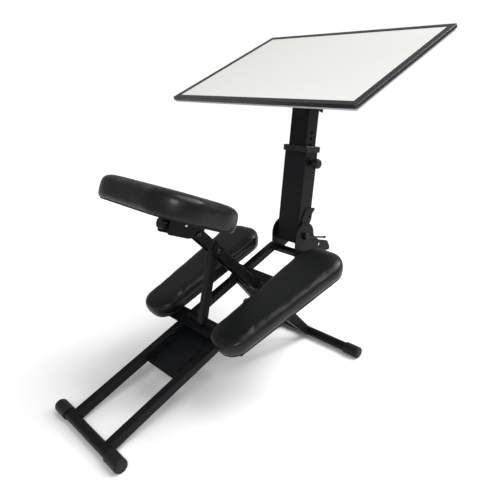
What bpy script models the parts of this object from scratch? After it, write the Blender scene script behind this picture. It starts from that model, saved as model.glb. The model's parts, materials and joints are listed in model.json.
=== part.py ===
"""A kneeling chair that carries its own drafting desk.

The lower frame's two rails slope up from the rear foot and carry the knee pads. A second beam crosses
them at the main pivot: its upper half is the seat arm, its lower half the two legs and the front foot.
A strut under the seat arm stands in hooks between the rails. At the front, a column leans on two ears
and telescopes to hold a tilting desk.

X points forward, from the seat towards the desk, Y to the sitter's left and Z up, in metres. The origin
is on the floor, under the middle of the whole object. Lengths along a sloping part are measured in that
part's own axes: x along it, y across it, z square to it. Angles are in degrees, and a tilt lifts local x
above the floor plane.
"""

import math

import bmesh
import bpy
from mathutils import Matrix, Vector

GAP = 0.0003  # what touching pieces keep between them
WALL = 0.0020  # sheet steel of the tubes
RUN = 0.00008  # radial clearance of a running fit

# Feet
FOOT_R = 0.0160
CAP_R = 0.0200
CAP_LENGTH = 0.0600
REAR_FOOT_HALF = 0.1750
FRONT_FOOT_HALF = 0.2920
FRONT_FOOT_X = 0.8800  # forward of the rear foot's axis

# Lower frame, along the rails
RAIL_TILT = 21.22
RAIL_START_Z = 0.0185
RAIL_SIDE = 0.0270
RAIL_Y = 0.0900
RAIL_LENGTH = 0.8800
TROUGH_START = 0.2620
TROUGH_END = 0.4860
TROUGH_DEPTH = 0.0135
FLANGE_TOP = 0.0040
RACK_Y = 0.0660
RACK_THICK = 0.0030
RACK_TOP = 0.0050
RACK_NOTCH = -0.0040
HOOK_START = 0.3830
HOOK_PITCH = 0.0435
HOOKS = 3
NOTCH_R = 0.0075
PLATE_THICK = 0.0040
PLATE_HALF = 0.2050
REAR_PLATE = (0.4190, 0.4780)
FRONT_PLATE = (0.7040, 0.7380)
BAR_SIDE = 0.0220

# Knee pads
PAD_X = 0.6315
PAD_Y = 0.1811
PAD_TILT = -1.8  # against the rails
PAD_TOE = 3.45
PAD_HALF_LENGTH = 0.2590
PAD_REAR_HALF = 0.0710
PAD_FRONT_HALF = 0.0930
PAD_LIFT = 0.0129  # a pad's middle stands this far above the cross plates
PAD_BOARD = 0.0090
PAD_INSET = 0.0120  # the board stands this far inside the padding
BOSS_R = 0.0090
PAD_THICK = 0.0530
PAD_SCREW_R = 0.0030

# Seat beam, along its own axis from the main pivot
PIVOT_X = 0.6854  # along the rails
BEAM_TILT = -44.5
ARM_WIDTH = 0.0420
ARM_DEPTH = 0.0330
ARM_SHIFT = 0.0030  # the channel's middle stands this far in front of the beam's axis
ARM_WALL = 0.0025
ARM_TOP = 0.3620
LEG_Y = 0.0610
LEG_THICK = 0.0240
SLEEVE_R = 0.0125
PIVOT_BOLT_R = 0.0060

# Strut
STRUT_TOP = 0.2486  # up the arm from the main pivot
STRUT_SIDE = 0.0250
STRUT_FOOT_X = 0.4513  # along the rails
STRUT_FOOT_Z = 0.0311  # above the rails' middle
ROD_R = 0.0040

# Seat
SEAT_PIVOT = 0.3500  # up the arm from the main pivot
SEAT_TILT = -21.8
SEAT_BACK = 0.1172  # the seat's middle stands this far behind its pivot
SEAT_RISE = 0.0287  # the seat's underside stands this far above its pivot
SEAT_DEPTH = 0.2940
SEAT_WIDTH = 0.4140
SEAT_CORNER = 0.1100
SEAT_BOARD = 0.0120
SEAT_INSET = 0.0140  # the board stands this far inside the padding
SEAT_THICK = 0.0710

# Column
COLUMN_X = 0.8395  # its hinge, forward of the rear foot's axis
COLUMN_Z = 0.4103
COLUMN_LEAN = 6.34
OUTER_WIDTH = 0.0940
OUTER_DEPTH = 0.0660
OUTER_BOTTOM = -0.0252
OUTER_TOP = 0.2918
INNER_WIDTH = 0.0740
INNER_DEPTH = 0.0580
INNER_BOTTOM = 0.0928
INNER_TOP = 0.5128
COLLAR_TOP = 0.3118
EAR_Y = 0.0515
EAR_THICK = 0.0050
EAR_CROWN = 0.0490
EAR_FOOT = -0.0703
LEVER_THICK = 0.0034
CLAMP_HUB_R = 0.0125
PIN_Z = 0.2568
PIN_R = 0.0040
PIN_PITCH = 0.0200
HEAD_LOW = 0.4388  # the head's sleeve starts here
CLAMP_TURN = 103.3  # the clamp's handle, from straight up towards the front

# Desk
DESK_EDGE_X = 0.6140  # the lower edge, forward of the rear foot's axis
DESK_EDGE_Z = 0.8760
DESK_TILT = 23.24
DESK_DEPTH = 0.5550
DESK_WIDTH = 0.7620
DESK_THICK = 0.0185
DESK_HINGE_DROP = 0.0460  # the hinge, below the desk's top face
EDGE_WIDTH = 0.0220
EDGE_HEIGHT = 0.0115

DESK_SLOPE = math.radians(DESK_TILT)
DESK_FRONT_X = DESK_EDGE_X + DESK_DEPTH * math.cos(DESK_SLOPE) + DESK_THICK * math.sin(DESK_SLOPE)
REAR_X = -(DESK_FRONT_X - CAP_R) / 2  # puts the origin under the middle of the whole object


# ---------------------------------------------------------------- frames of reference

def clear_scene():
    for thing in list(bpy.data.objects):
        bpy.data.objects.remove(thing, do_unlink=True)


WORLD = {}


def frame_of(name, x, z, tilt, parent=None, y=0.0):
    """An empty whose local x rises at the tilt, in the XZ plane. x and z are in the object's own axes."""
    world = Matrix.Translation((x, y, z)) @ Matrix.Rotation(math.radians(-tilt), 4, "Y")
    WORLD[name] = world
    empty = bpy.data.objects.new(name, None)
    empty.empty_display_size = 0.03
    bpy.context.scene.collection.objects.link(empty)
    if parent:
        empty.parent = bpy.data.objects[parent]
        empty.matrix_basis = WORLD[parent].inverted() @ world
    else:
        empty.matrix_basis = world


def place_in(frame, x, z):
    """The world x and z of a point that is given in a frame's own axes."""
    point = WORLD[frame] @ Vector((x, 0, z))
    return point.x, point.z


def tilt_from(start, end):
    """The tilt of the line from one (x, z) point to another."""
    return math.degrees(math.atan2(end[1] - start[1], end[0] - start[0]))


# ---------------------------------------------------------------- materials

def material(name, colour, roughness, metallic=0.0):
    made = bpy.data.materials.new(name)
    made.use_nodes = True
    shader = made.node_tree.nodes["Principled BSDF"]
    shader.inputs["Base Color"].default_value = (*colour, 1)
    shader.inputs["Roughness"].default_value = roughness
    shader.inputs["Metallic"].default_value = metallic
    return made


# ---------------------------------------------------------------- shapes

def rounded(width, height, radius, steps=3, x=0.0, y=0.0):
    """A rectangle with round corners, counterclockwise, about a middle."""
    points = []
    for corner in range(4):
        turn = corner * math.pi / 2
        side_x = 1 if corner in (0, 3) else -1
        side_y = 1 if corner in (0, 1) else -1
        for step in range(steps + 1):
            angle = turn + step * math.pi / 2 / steps
            points.append((
                x + side_x * (width / 2 - radius) + radius * math.cos(angle),
                y + side_y * (height / 2 - radius) + radius * math.sin(angle),
            ))
    return points


def circle(radius, steps=24, x=0.0, y=0.0):
    turns = [2 * math.pi * i / steps for i in range(steps)]
    return [(x + radius * math.cos(turn), y + radius * math.sin(turn)) for turn in turns]


def arc(x, y, radius, start, end, steps):
    """Points along an arc, with both ends, from one angle in degrees to another."""
    points = []
    for step in range(steps + 1):
        angle = math.radians(start + (end - start) * step / steps)
        points.append((x + radius * math.cos(angle), y + radius * math.sin(angle)))
    return points


def prism(outline, low, high):
    """A solid between two heights of z, on an outline in x and y."""
    made = bmesh.new()
    bottom = [made.verts.new((x, y, low)) for x, y in outline]
    top = [made.verts.new((x, y, high)) for x, y in outline]
    count = len(outline)
    made.faces.new(reversed(bottom))
    made.faces.new(top)
    for i in range(count):
        j = (i + 1) % count
        made.faces.new((bottom[i], bottom[j], top[j], top[i]))
    return made


def pipe(outer, inner, low, high):
    """A tube between two heights of z. Both outlines have the same number of points."""
    made = bmesh.new()
    rings = []
    for outline, height in ((outer, low), (outer, high), (inner, high), (inner, low)):
        rings.append([made.verts.new((x, y, height)) for x, y in outline])
    count = len(outer)
    for a in range(4):
        first, second = rings[a], rings[(a + 1) % 4]
        for i in range(count):
            j = (i + 1) % count
            made.faces.new((first[i], first[j], second[j], second[i]))
    return made


def turned(profile, steps=24):
    """A turned solid about z, from (radius, z) points that run up its outer side. A first or last radius
    of 0 ends on the axis, and any other profile is closed round a bore."""
    made = bmesh.new()
    solid = profile[0][0] == 0
    rings = []
    for radius, height in profile:
        if radius == 0:
            rings.append([made.verts.new((0, 0, height))])
            continue
        rings.append([made.verts.new((x, y, height)) for x, y in circle(radius, steps)])
    pairs = list(zip(rings, rings[1:]))
    if not solid:
        pairs.append((rings[-1], rings[0]))
    for first, second in pairs:
        for i in range(steps):
            j = (i + 1) % steps
            corners = [first[i % len(first)], first[j % len(first)]]
            corners += [second[j % len(second)], second[i % len(second)]]
            made.faces.new(list(dict.fromkeys(corners)))
    return made


def moved(shape, x=0.0, y=0.0, z=0.0):
    bmesh.ops.transform(shape, matrix=Matrix.Translation((x, y, z)), verts=shape.verts)
    return shape


def turn_to(shape, axis):
    """Turns a shape made along z so that it runs along x or y."""
    turns = {
        "x": Matrix(((0, 0, 1, 0), (1, 0, 0, 0), (0, 1, 0, 0), (0, 0, 0, 1))),
        "y": Matrix(((0, 1, 0, 0), (0, 0, 1, 0), (1, 0, 0, 0), (0, 0, 0, 1))),
    }
    bmesh.ops.transform(shape, matrix=turns[axis], verts=shape.verts)
    return shape


def side_plate(outline, y, thick):
    """A plate that stands in the XZ plane: its outline is in x and z, and it fills y to y + thick."""
    shape = prism([(z, x) for x, z in outline], y, y + thick)
    return turn_to(shape, "y")


def box(x, y, z):
    """A box from three (low, high) pairs."""
    outline = [(x[0], y[0]), (x[1], y[0]), (x[1], y[1]), (x[0], y[1])]
    return prism(outline, z[0], z[1])


def helper(name, shape, frame):
    """A guide that a Boolean uses and the model leaves out."""
    bmesh.ops.recalc_face_normals(shape, faces=shape.faces)
    mesh = bpy.data.meshes.new(name)
    shape.to_mesh(mesh)
    shape.free()
    guide = bpy.data.objects.new(name, mesh)
    bpy.context.scene.collection.objects.link(guide)
    guide.parent = bpy.data.objects[frame]
    guide.display_type = "WIRE"
    guide.hide_render = True
    return guide


def node(name, shape, finish, frame, bevel=0.0, welds=(), cuts=()):
    """Turns a shape in a frame's axes into a named object, with what is welded to it and cut from it."""
    bmesh.ops.recalc_face_normals(shape, faces=shape.faces)
    mesh = bpy.data.meshes.new(name)
    shape.to_mesh(mesh)
    shape.free()
    thing = bpy.data.objects.new(name, mesh)
    bpy.context.scene.collection.objects.link(thing)
    thing.parent = bpy.data.objects[frame]
    mesh.materials.append(finish)
    for word, operation, shapes in (("weld", "UNION", welds), ("cut", "DIFFERENCE", cuts)):
        for number, other in enumerate(shapes):
            boolean = thing.modifiers.new(f"{word}_{number}", "BOOLEAN")
            boolean.operation = operation
            boolean.object = helper(f"{name}_{word}_{number}", other, frame)
    if bevel:
        rounding = thing.modifiers.new("edges", "BEVEL")
        rounding.width = bevel
        rounding.segments = 1
        rounding.limit_method = "ANGLE"
        rounding.angle_limit = math.radians(50)
        rounding.use_clamp_overlap = True
    mesh.shade_smooth()
    mesh.set_sharp_from_angle(angle=math.radians(40))
    return thing


def square_tube(length, side_y, side_z, corner, wall, start=0.0, z=0.0):
    """A tube along x with round corners."""
    outer = rounded(side_y, side_z, corner, y=z)
    inner = rounded(side_y - 2 * wall, side_z - 2 * wall, max(corner - wall, 0.0004), y=z)
    return turn_to(pipe(outer, inner, start, start + length), "x")


def cross_rod(radius, y_low, y_high, x=0.0, z=0.0, steps=24):
    """A solid rod along y."""
    return turn_to(prism(circle(radius, steps, x=z, y=x), y_low, y_high), "y")


def bolt(y_head, y_end, radius, x=0.0, z=0.0, head_r=0.0, head=0.0045):
    """A round-headed bolt along y. Its head stands outside y_head, and its shank runs to y_end."""
    head_r = head_r or 1.75 * radius
    side = 1 if y_head > y_end else -1
    profile = [
        (0, y_end),
        (radius - 0.0006, y_end),
        (radius, y_end + side * 0.0006),
        (radius, y_head),
        (head_r, y_head),
        (head_r, y_head + side * 0.45 * head),
        (0.62 * head_r, y_head + side * head),
        (0, y_head + side * head),
    ]
    return moved(turn_to(turned(profile), "y"), x=x, z=z)


def nut(y_face, radius, side, x=0.0, z=0.0, height=0.0055):
    """A domed six-sided nut on a bolt's end."""
    bore = circle(radius + RUN, 24)
    flats = []
    across = 1.9 * radius
    for i in range(24):
        angle = i * math.pi / 12
        from_flat = (angle % (math.pi / 3)) - math.pi / 6
        reach = across / math.cos(from_flat)
        flats.append((reach * math.cos(angle), reach * math.sin(angle)))
    low, high = sorted((y_face, y_face + side * height))
    return moved(turn_to(pipe(flats, bore, low, high), "y"), x=x, z=z)


def knob(radius, length, lobes, depth, steps_per_lobe=6, bore=0.0):
    """A fluted grip along z from 0, with a domed outer end."""
    count = lobes * steps_per_lobe

    def ring(scale):
        points = []
        for i in range(count):
            angle = 2 * math.pi * i / count
            reach = radius * scale - depth * (0.5 - 0.5 * math.cos(lobes * angle)) * scale
            points.append((reach * math.cos(angle), reach * math.sin(angle)))
        return points

    made = bmesh.new()
    levels = ((0.0, 0.90), (0.10, 1.0), (0.80, 1.0), (0.94, 0.92), (1.0, 0.78))
    rings = []
    for share, scale in levels:
        rings.append([made.verts.new((x, y, share * length)) for x, y in ring(scale)])
    if bore:
        for height in (length * 0.75, 0.0):
            rings.append([made.verts.new((x, y, height)) for x, y in circle(bore, count)])
        made.faces.new(rings[-2])
        top = made.verts.new((0, 0, length))
        for i in range(count):
            made.faces.new((rings[4][i], rings[4][(i + 1) % count], top))
        pairs = list(zip(rings[:4], rings[1:5])) + [(rings[5], rings[6]), (rings[6], rings[0])]
    else:
        made.faces.new(rings[-1])
        made.faces.new(reversed(rings[0]))
        pairs = list(zip(rings, rings[1:]))
    for first, second in pairs:
        for i in range(count):
            j = (i + 1) % count
            made.faces.new((first[i], first[j], second[j], second[i]))
    return made


def cushion(outline_at, low, high, crown=0.010, top_round=0.020):
    """A padded slab. outline_at(inset) gives its outline, pulled in by that much."""
    made = bmesh.new()
    height = high - low - crown
    levels = (
        (0.0030, low),
        (0.0, low + 0.15 * height),
        (0.0, low + height - 0.75 * top_round),
        (0.30 * top_round, low + height - 0.28 * top_round),
        (top_round, low + height),
    )
    rings = []
    for inset, z in levels:
        rings.append([made.verts.new((x, y, z)) for x, y in outline_at(inset)])
    count = len(rings[0])
    for first, second in zip(rings, rings[1:]):
        for i in range(count):
            j = (i + 1) % count
            made.faces.new((first[i], first[j], second[j], second[i]))
    made.faces.new(reversed(rings[0]))
    middle_x = sum(v.co.x for v in rings[-1]) / count
    middle_y = sum(v.co.y for v in rings[-1]) / count
    halfway = []
    for vert in rings[-1]:
        x, y = (middle_x + vert.co.x) / 2, (middle_y + vert.co.y) / 2
        halfway.append(made.verts.new((x, y, high - 0.2 * crown)))
    top = made.verts.new((middle_x, middle_y, high))
    for i in range(count):
        j = (i + 1) % count
        made.faces.new((rings[-1][i], rings[-1][j], halfway[j], halfway[i]))
        made.faces.new((halfway[i], halfway[j], top))
    return made


# ---------------------------------------------------------------- lower frame

def make_foot(prefix, half, frame, steel, plastic):
    """A cross tube on the floor with a plastic cap on each end. The frame's origin is the tube's middle."""
    tube_half = half - 0.0070
    outer, inner = circle(FOOT_R, 32), circle(FOOT_R - WALL, 32)
    tube = pipe(outer, inner, -tube_half, tube_half)
    node(f"{prefix}_foot_tube", turn_to(tube, "y"), steel, frame)
    for side, word in ((1, "left"), (-1, "right")):
        sleeve = FOOT_R + GAP
        profile = [
            (sleeve, side * (half - CAP_LENGTH)),
            (CAP_R - 0.0015, side * (half - CAP_LENGTH)),
            (CAP_R, side * (half - CAP_LENGTH + 0.0015)),
            (CAP_R, side * (half - 0.0060)),
            (CAP_R - 0.0018, side * (half - 0.0022)),
            (CAP_R - 0.0060, side * half),
            (0, side * half),
        ]
        mouth = [(0, side * (tube_half + GAP)), (sleeve, side * (tube_half + GAP))]
        cap = turned(mouth + profile, 32)
        node(f"{prefix}_foot_cap_{word}", turn_to(cap, "y"), plastic, frame)


def make_rails(steel):
    for side, word in ((1, "left"), (-1, "right")):
        rail = moved(square_tube(RAIL_LENGTH, RAIL_SIDE, RAIL_SIDE, 0.0030, WALL), y=side * RAIL_Y)
        foot_z = (CAP_R - RAIL_START_Z) * math.cos(math.radians(RAIL_TILT))
        foot_x = (CAP_R - RAIL_START_Z) * math.sin(math.radians(RAIL_TILT))
        low, high = side * RAIL_Y - RAIL_SIDE, side * RAIL_Y + RAIL_SIDE
        cuts = [
            cross_rod(FOOT_R + GAP, low, high, x=foot_x, z=foot_z, steps=32),
            cross_rod(PIVOT_BOLT_R + GAP, low, high, x=PIVOT_X),
        ]
        node(f"rail_{word}", rail, steel, "lower_frame", cuts=cuts)
    bar_half = RAIL_Y + RAIL_SIDE / 2
    outer = rounded(BAR_SIDE, BAR_SIDE, 0.0030, y=RAIL_LENGTH + GAP + BAR_SIDE / 2)
    inner = rounded(BAR_SIDE - 2 * WALL, BAR_SIDE - 2 * WALL, 0.0010, y=RAIL_LENGTH + GAP + BAR_SIDE / 2)
    node("front_bar", turn_to(pipe(outer, inner, -bar_half, bar_half), "y"), steel, "lower_frame")


def hook_place(number):
    """Where along the rails the strut's rod lies in a hook of the racks, counted from the front."""
    return HOOK_START - number * HOOK_PITCH


def trough_profile(inset):
    """The folded sheet's section in y and z, from flange top to flange top, pulled in by the gauge."""
    half = RAIL_Y - RAIL_SIDE / 2 - GAP - inset
    floor = -TROUGH_DEPTH + inset
    fold = 0.0050 - inset
    left = [(half, FLANGE_TOP)] + arc(half - fold, floor + fold, fold, 0, -90, 3)
    return left + [(-y, z) for y, z in reversed(left)]


def rack_outline(floor):
    """A rack's side view: a round notch for each place of the strut's rod, and sloping teeth between them."""
    points = [(TROUGH_END - 0.0200, floor), (TROUGH_END - 0.0200, RACK_TOP)]
    for number in range(HOOKS):
        x = hook_place(number)
        points.append((x + NOTCH_R + 0.0020, RACK_TOP))
        points += arc(x, RACK_NOTCH + NOTCH_R, NOTCH_R, 0, -150, 6)
        points.append((x - 0.0140, RACK_TOP - 0.0010))
    return points + [(TROUGH_START + 0.0130, floor)]


def make_trough(steel):
    """The channel between the rails, and on its floor the two racks that the strut's rod hooks into."""
    outline = trough_profile(0.0) + list(reversed(trough_profile(RACK_THICK)))
    channel = turn_to(prism(outline, TROUGH_START, TROUGH_END), "x")
    racks = []
    for side in (1, -1):
        profile = rack_outline(-TROUGH_DEPTH + RACK_THICK - 0.0010)
        racks.append(side_plate(profile, side * RACK_Y - RACK_THICK / 2, RACK_THICK))
    node("trough", channel, steel, "lower_frame", welds=racks)


def lug_outline(floor):
    """A lug of the rear plate, which stops the strut's rod from moving forward and carries it from below."""
    seat = STRUT_FOOT_Z - ROD_R - GAP
    rear = STRUT_FOOT_X - 0.0110
    stop = STRUT_FOOT_X + ROD_R + GAP
    front = STRUT_FOOT_X + 0.0130
    high = STRUT_FOOT_Z + 0.0030
    cradle = [(rear, floor), (rear + 0.0030, seat), (stop, seat)]
    return cradle + [(stop, high), (front - 0.0040, high), (front, floor)]


def make_cross_plates(steel):
    bottom = RAIL_SIDE / 2 + GAP
    top = bottom + PLATE_THICK
    for name, (start, end) in (("rear_cross_plate", REAR_PLATE), ("front_cross_plate", FRONT_PLATE)):
        middle = (start + end) / 2
        plate = prism(rounded(end - start, 2 * PLATE_HALF, 0.0060, x=middle), bottom, top)
        welds, cuts = [], []
        for side in (1, -1):
            hole = circle(PAD_SCREW_R + GAP, 16, x=middle, y=side * PAD_Y)
            cuts.append(prism(hole, bottom - 0.0020, top + 0.0020))
            if name == "rear_cross_plate":
                lug = lug_outline(top - 0.0010)
                welds.append(side_plate(list(reversed(lug)), side * RACK_Y - RACK_THICK / 2, RACK_THICK))
        if name == "front_cross_plate":
            welds.append(box((start + 0.0015, start + 0.0045), (-0.0460, 0.0460), (-0.0090, bottom + 0.0010)))
        node(name, plate, steel, "lower_frame", welds=welds, cuts=cuts)


def pad_outline(inset):
    """A knee pad seen from above: rounder and narrower at its rear end, wider at its front."""
    points = []
    reach = PAD_HALF_LENGTH - inset
    corners = (
        (1, 1, PAD_FRONT_HALF, 0.0780, 0),
        (-1, 1, PAD_REAR_HALF, 0.0640, 90),
        (-1, -1, PAD_REAR_HALF, 0.0640, 180),
        (1, -1, PAD_FRONT_HALF, 0.0780, 270),
    )
    for side_x, side_y, half, radius, start in corners:
        r = radius - inset
        points += arc(side_x * (reach - r), side_y * (half - inset - r), r, start, start + 90, 7)
    return points


def pad_screw_places(side):
    """Where a pad's two screws stand, along and across the rails."""
    return [("rear", sum(REAR_PLATE) / 2, side * PAD_Y), ("front", sum(FRONT_PLATE) / 2, side * PAD_Y)]


def make_pads(vinyl, wood, zinc):
    """Each pad is a board with two bosses on the cross plates, and padding that wraps the board's rim."""
    plate_top = RAIL_SIDE / 2 + GAP + PLATE_THICK
    for side, word in ((1, "left"), (-1, "right")):
        frame = f"pad_{word}"
        board = prism(pad_outline(PAD_INSET), 0.0, PAD_BOARD)
        bosses, holes = [], []
        for end, x, y in pad_screw_places(side):
            foot = WORLD[frame].inverted() @ WORLD["lower_frame"] @ Vector((x, y, plate_top))
            bosses.append(prism(circle(BOSS_R, 20, x=foot.x, y=foot.y), foot.z + 2 * GAP, 0.0020))
            holes.append(prism(circle(PAD_SCREW_R + 3 * GAP, 16, x=foot.x, y=foot.y), foot.z - 0.0020, 0.0))
            make_pad_screw(f"pad_screw_{end}_{word}", x, y, zinc)
        node(f"pad_board_{word}", board, wood, frame, welds=bosses, cuts=holes)
        padding = cushion(pad_outline, 0.0, PAD_THICK, crown=0.006, top_round=0.022)
        pocket = prism(pad_outline(PAD_INSET - GAP), -0.0020, PAD_BOARD + GAP)
        node(f"knee_pad_{word}", padding, vinyl, frame, cuts=[pocket])


def make_pad_screw(name, x, y, zinc):
    """A screw from under a cross plate, up into a boss of the pad's board."""
    under = RAIL_SIDE / 2
    head = [(0, under - 0.0040), (0.0040, under - 0.0040), (0.0062, under - 0.0022), (0.0062, under)]
    end = under + PLATE_THICK + 0.0080
    screw = turned(head + [(PAD_SCREW_R, under), (PAD_SCREW_R, end), (0, end)], 16)
    node(name, moved(screw, x=x, y=y), zinc, "lower_frame")


def ear_outline(with_lug):
    """One hinge ear of the column, in the column hinge's level axes. The right ear carries a lug in front."""
    crown = arc(0.0, 0.0, EAR_CROWN, 180, 0, 14)
    if with_lug:
        front = [(0.0520, -0.0080), (0.0637, -0.0180), (0.0836, -0.0316), (0.1300, -0.0450)]
        front += [(0.1370, -0.0490), (0.1500, -0.0720), (0.1510, -0.0780), (0.1460, -0.0860)]
        front += [(0.0400, EAR_FOOT)]
    else:
        front = [(0.0520, -0.0080), (0.0600, -0.0200), (0.0640, -0.0435), (0.0219, -0.0607)]
        front += [(0.0100, EAR_FOOT)]
    return [(-EAR_CROWN, EAR_FOOT)] + crown + front


def make_ears(steel):
    for side, word in ((1, "left"), (-1, "right")):
        low = EAR_Y if side > 0 else -EAR_Y - EAR_THICK
        plate = side_plate(list(reversed(ear_outline(side < 0))), low, EAR_THICK)
        across = (low - 0.002, low + EAR_THICK + 0.002)
        cuts = [
            cross_rod(PIVOT_BOLT_R + GAP, *across),
            cross_rod(0.0030, *across, z=0.0405, steps=16),
        ]
        if side < 0:
            cuts.append(cross_rod(0.0060, *across, x=0.0862, z=-0.0499, steps=16))
        bar_x, bar_z = place_in("lower_frame", RAIL_LENGTH + GAP + BAR_SIDE / 2, 0)
        hinge = WORLD["column_ears"].translation
        slot = rounded(BAR_SIDE + 0.0008, BAR_SIDE + 0.0008, 0.0030)
        turn = math.radians(RAIL_TILT)
        seat = []
        for x, z in slot:
            seat.append((
                bar_x - hinge.x + x * math.cos(turn) - z * math.sin(turn),
                bar_z - hinge.z + x * math.sin(turn) + z * math.cos(turn),
            ))
        cuts.append(side_plate(seat, across[0], across[1] - across[0]))
        node(f"column_ear_{word}", plate, steel, "column_ears", cuts=cuts)


# ---------------------------------------------------------------- seat beam

def make_arm(steel, zinc):
    """The seat arm is a channel, open underneath, so that the strut folds into it."""
    top = ARM_SHIFT + ARM_DEPTH / 2
    low = top - ARM_DEPTH
    half = ARM_WIDTH / 2
    r = 0.0050
    outer = [(half, low)] + arc(half - r, top - r, r, 0, 90, 3)
    inner_r = r - ARM_WALL
    inner_half = half - ARM_WALL
    inner = [(inner_half, low)] + arc(inner_half - inner_r, top - ARM_WALL - inner_r, inner_r, 0, 90, 3)
    outline = outer + [(-y, z) for y, z in reversed(outer)]
    outline += [(-y, z) for y, z in inner] + list(reversed(inner))
    channel = turn_to(prism(outline, -ARM_TOP, 0.0), "x")
    reach = (-half - 0.002, half + 0.002)
    cuts = [
        cross_rod(SLEEVE_R + GAP, *reach, steps=32),
        cross_rod(PIN_R + RUN, *reach, x=-STRUT_TOP, steps=24),
        cross_rod(PIVOT_BOLT_R - 0.001 + RUN, *reach, x=-SEAT_PIVOT, steps=24),
    ]
    node("seat_arm", channel, steel, "beam", cuts=cuts)

    saddle_half = half + GAP
    gauge = 0.0030
    over = top + GAP
    outside = saddle_half + gauge
    outer = [(outside, low + 0.0080)] + arc(outside - 0.0060, over + gauge - 0.0060, 0.0060, 0, 90, 3)
    inner = [(saddle_half, low + 0.0080)] + arc(saddle_half - 0.0052, over - 0.0052, 0.0052, 0, 90, 3)
    outline = outer + [(-y, z) for y, z in reversed(outer)]
    outline += [(-y, z) for y, z in inner] + list(reversed(inner))
    saddle = turn_to(prism(outline, -STRUT_TOP - 0.0230, -STRUT_TOP + 0.0230), "x")
    hole = cross_rod(PIN_R + RUN, -half - 0.01, half + 0.01, x=-STRUT_TOP, steps=24)
    node("strut_saddle", saddle, steel, "beam", cuts=[hole])

    pin_half = outside + GAP
    node("strut_bolt", bolt(-pin_half, pin_half + 0.0070, PIN_R, x=-STRUT_TOP, head_r=0.0075), zinc, "beam")
    node("strut_nut", nut(pin_half, PIN_R, 1, x=-STRUT_TOP), zinc, "beam")


def leg_outline():
    """A leg from the pivot to the front foot, in the beam's axes. It narrows towards the floor."""
    foot_x, foot_z = foot_in_beam()
    outline = arc(0.0, 0.0, 0.0165, 95, 265, 8)
    outline += [(0.2050, -0.0340), (foot_x - 0.0040, foot_z - 0.0185), (foot_x, foot_z)]
    return outline + [(foot_x - 0.0040, foot_z + 0.0085), (0.2050, 0.0050)]


def foot_in_beam():
    world = Vector((REAR_X + FRONT_FOOT_X, 0, CAP_R))
    local = WORLD["beam"].inverted() @ world
    return local.x, local.z


def make_legs(steel):
    foot_x, foot_z = foot_in_beam()
    for side, word in ((1, "left"), (-1, "right")):
        low = side * LEG_Y - LEG_THICK / 2
        reach = (low - 0.002, low + LEG_THICK + 0.002)
        leg = side_plate(leg_outline(), low, LEG_THICK)
        cuts = [
            cross_rod(PIVOT_BOLT_R + RUN, *reach, steps=32),
            cross_rod(FOOT_R + GAP, *reach, x=foot_x, z=foot_z, steps=32),
        ]
        node(f"leg_{word}", leg, steel, "beam", cuts=cuts, bevel=0.0020)
    sleeve_half = LEG_Y - LEG_THICK / 2 - GAP
    sleeve = pipe(circle(SLEEVE_R, 32), circle(PIVOT_BOLT_R + RUN, 32), -sleeve_half, sleeve_half)
    node("pivot_sleeve", turn_to(sleeve, "y"), steel, "beam")


def make_main_pivot(zinc):
    outside = RAIL_Y + RAIL_SIDE / 2 + GAP
    shaft = bolt(-outside, outside + 0.0090, PIVOT_BOLT_R, x=PIVOT_X, head_r=0.0110)
    node("main_pivot_bolt", shaft, zinc, "lower_frame")
    node("main_pivot_nut", nut(outside, PIVOT_BOLT_R, 1, x=PIVOT_X), zinc, "lower_frame")


# ---------------------------------------------------------------- strut

def make_strut(steel, zinc):
    """A square tube with a round foot, and the rod through the foot that stands in the hooks."""
    length = (Vector(strut_foot()) - Vector(strut_top())).length
    top_end = 0.0110
    foot_r = STRUT_SIDE / 2 + GAP
    tube = square_tube(length + top_end + foot_r, STRUT_SIDE, STRUT_SIDE, 0.0030, WALL, start=-top_end)
    half = STRUT_SIDE / 2 + 0.0010
    corners = [(length, half)] + arc(length, 0.0, foot_r, 90, -90, 10)
    corners += [(length, -half), (length + 0.0200, -half), (length + 0.0200, half)]
    cuts = [
        cross_rod(PIN_R + RUN, -half, half),
        cross_rod(ROD_R + GAP, -half, half, x=length),
        side_plate(corners, -half, 2 * half),
    ]
    node("strut", tube, steel, "strut_hinge", cuts=cuts)
    rod_half = RACK_Y + 0.0065
    node("strut_rod", cross_rod(ROD_R, -rod_half, rod_half, x=length), zinc, "strut_hinge", bevel=0.0008)


def strut_top():
    return place_in("beam", -STRUT_TOP, 0)


def strut_foot():
    return place_in("lower_frame", STRUT_FOOT_X, STRUT_FOOT_Z)


# ---------------------------------------------------------------- seat

def seat_outline(inset):
    return rounded(SEAT_DEPTH - 2 * inset, SEAT_WIDTH - 2 * inset, SEAT_CORNER - inset, steps=8)


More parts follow.
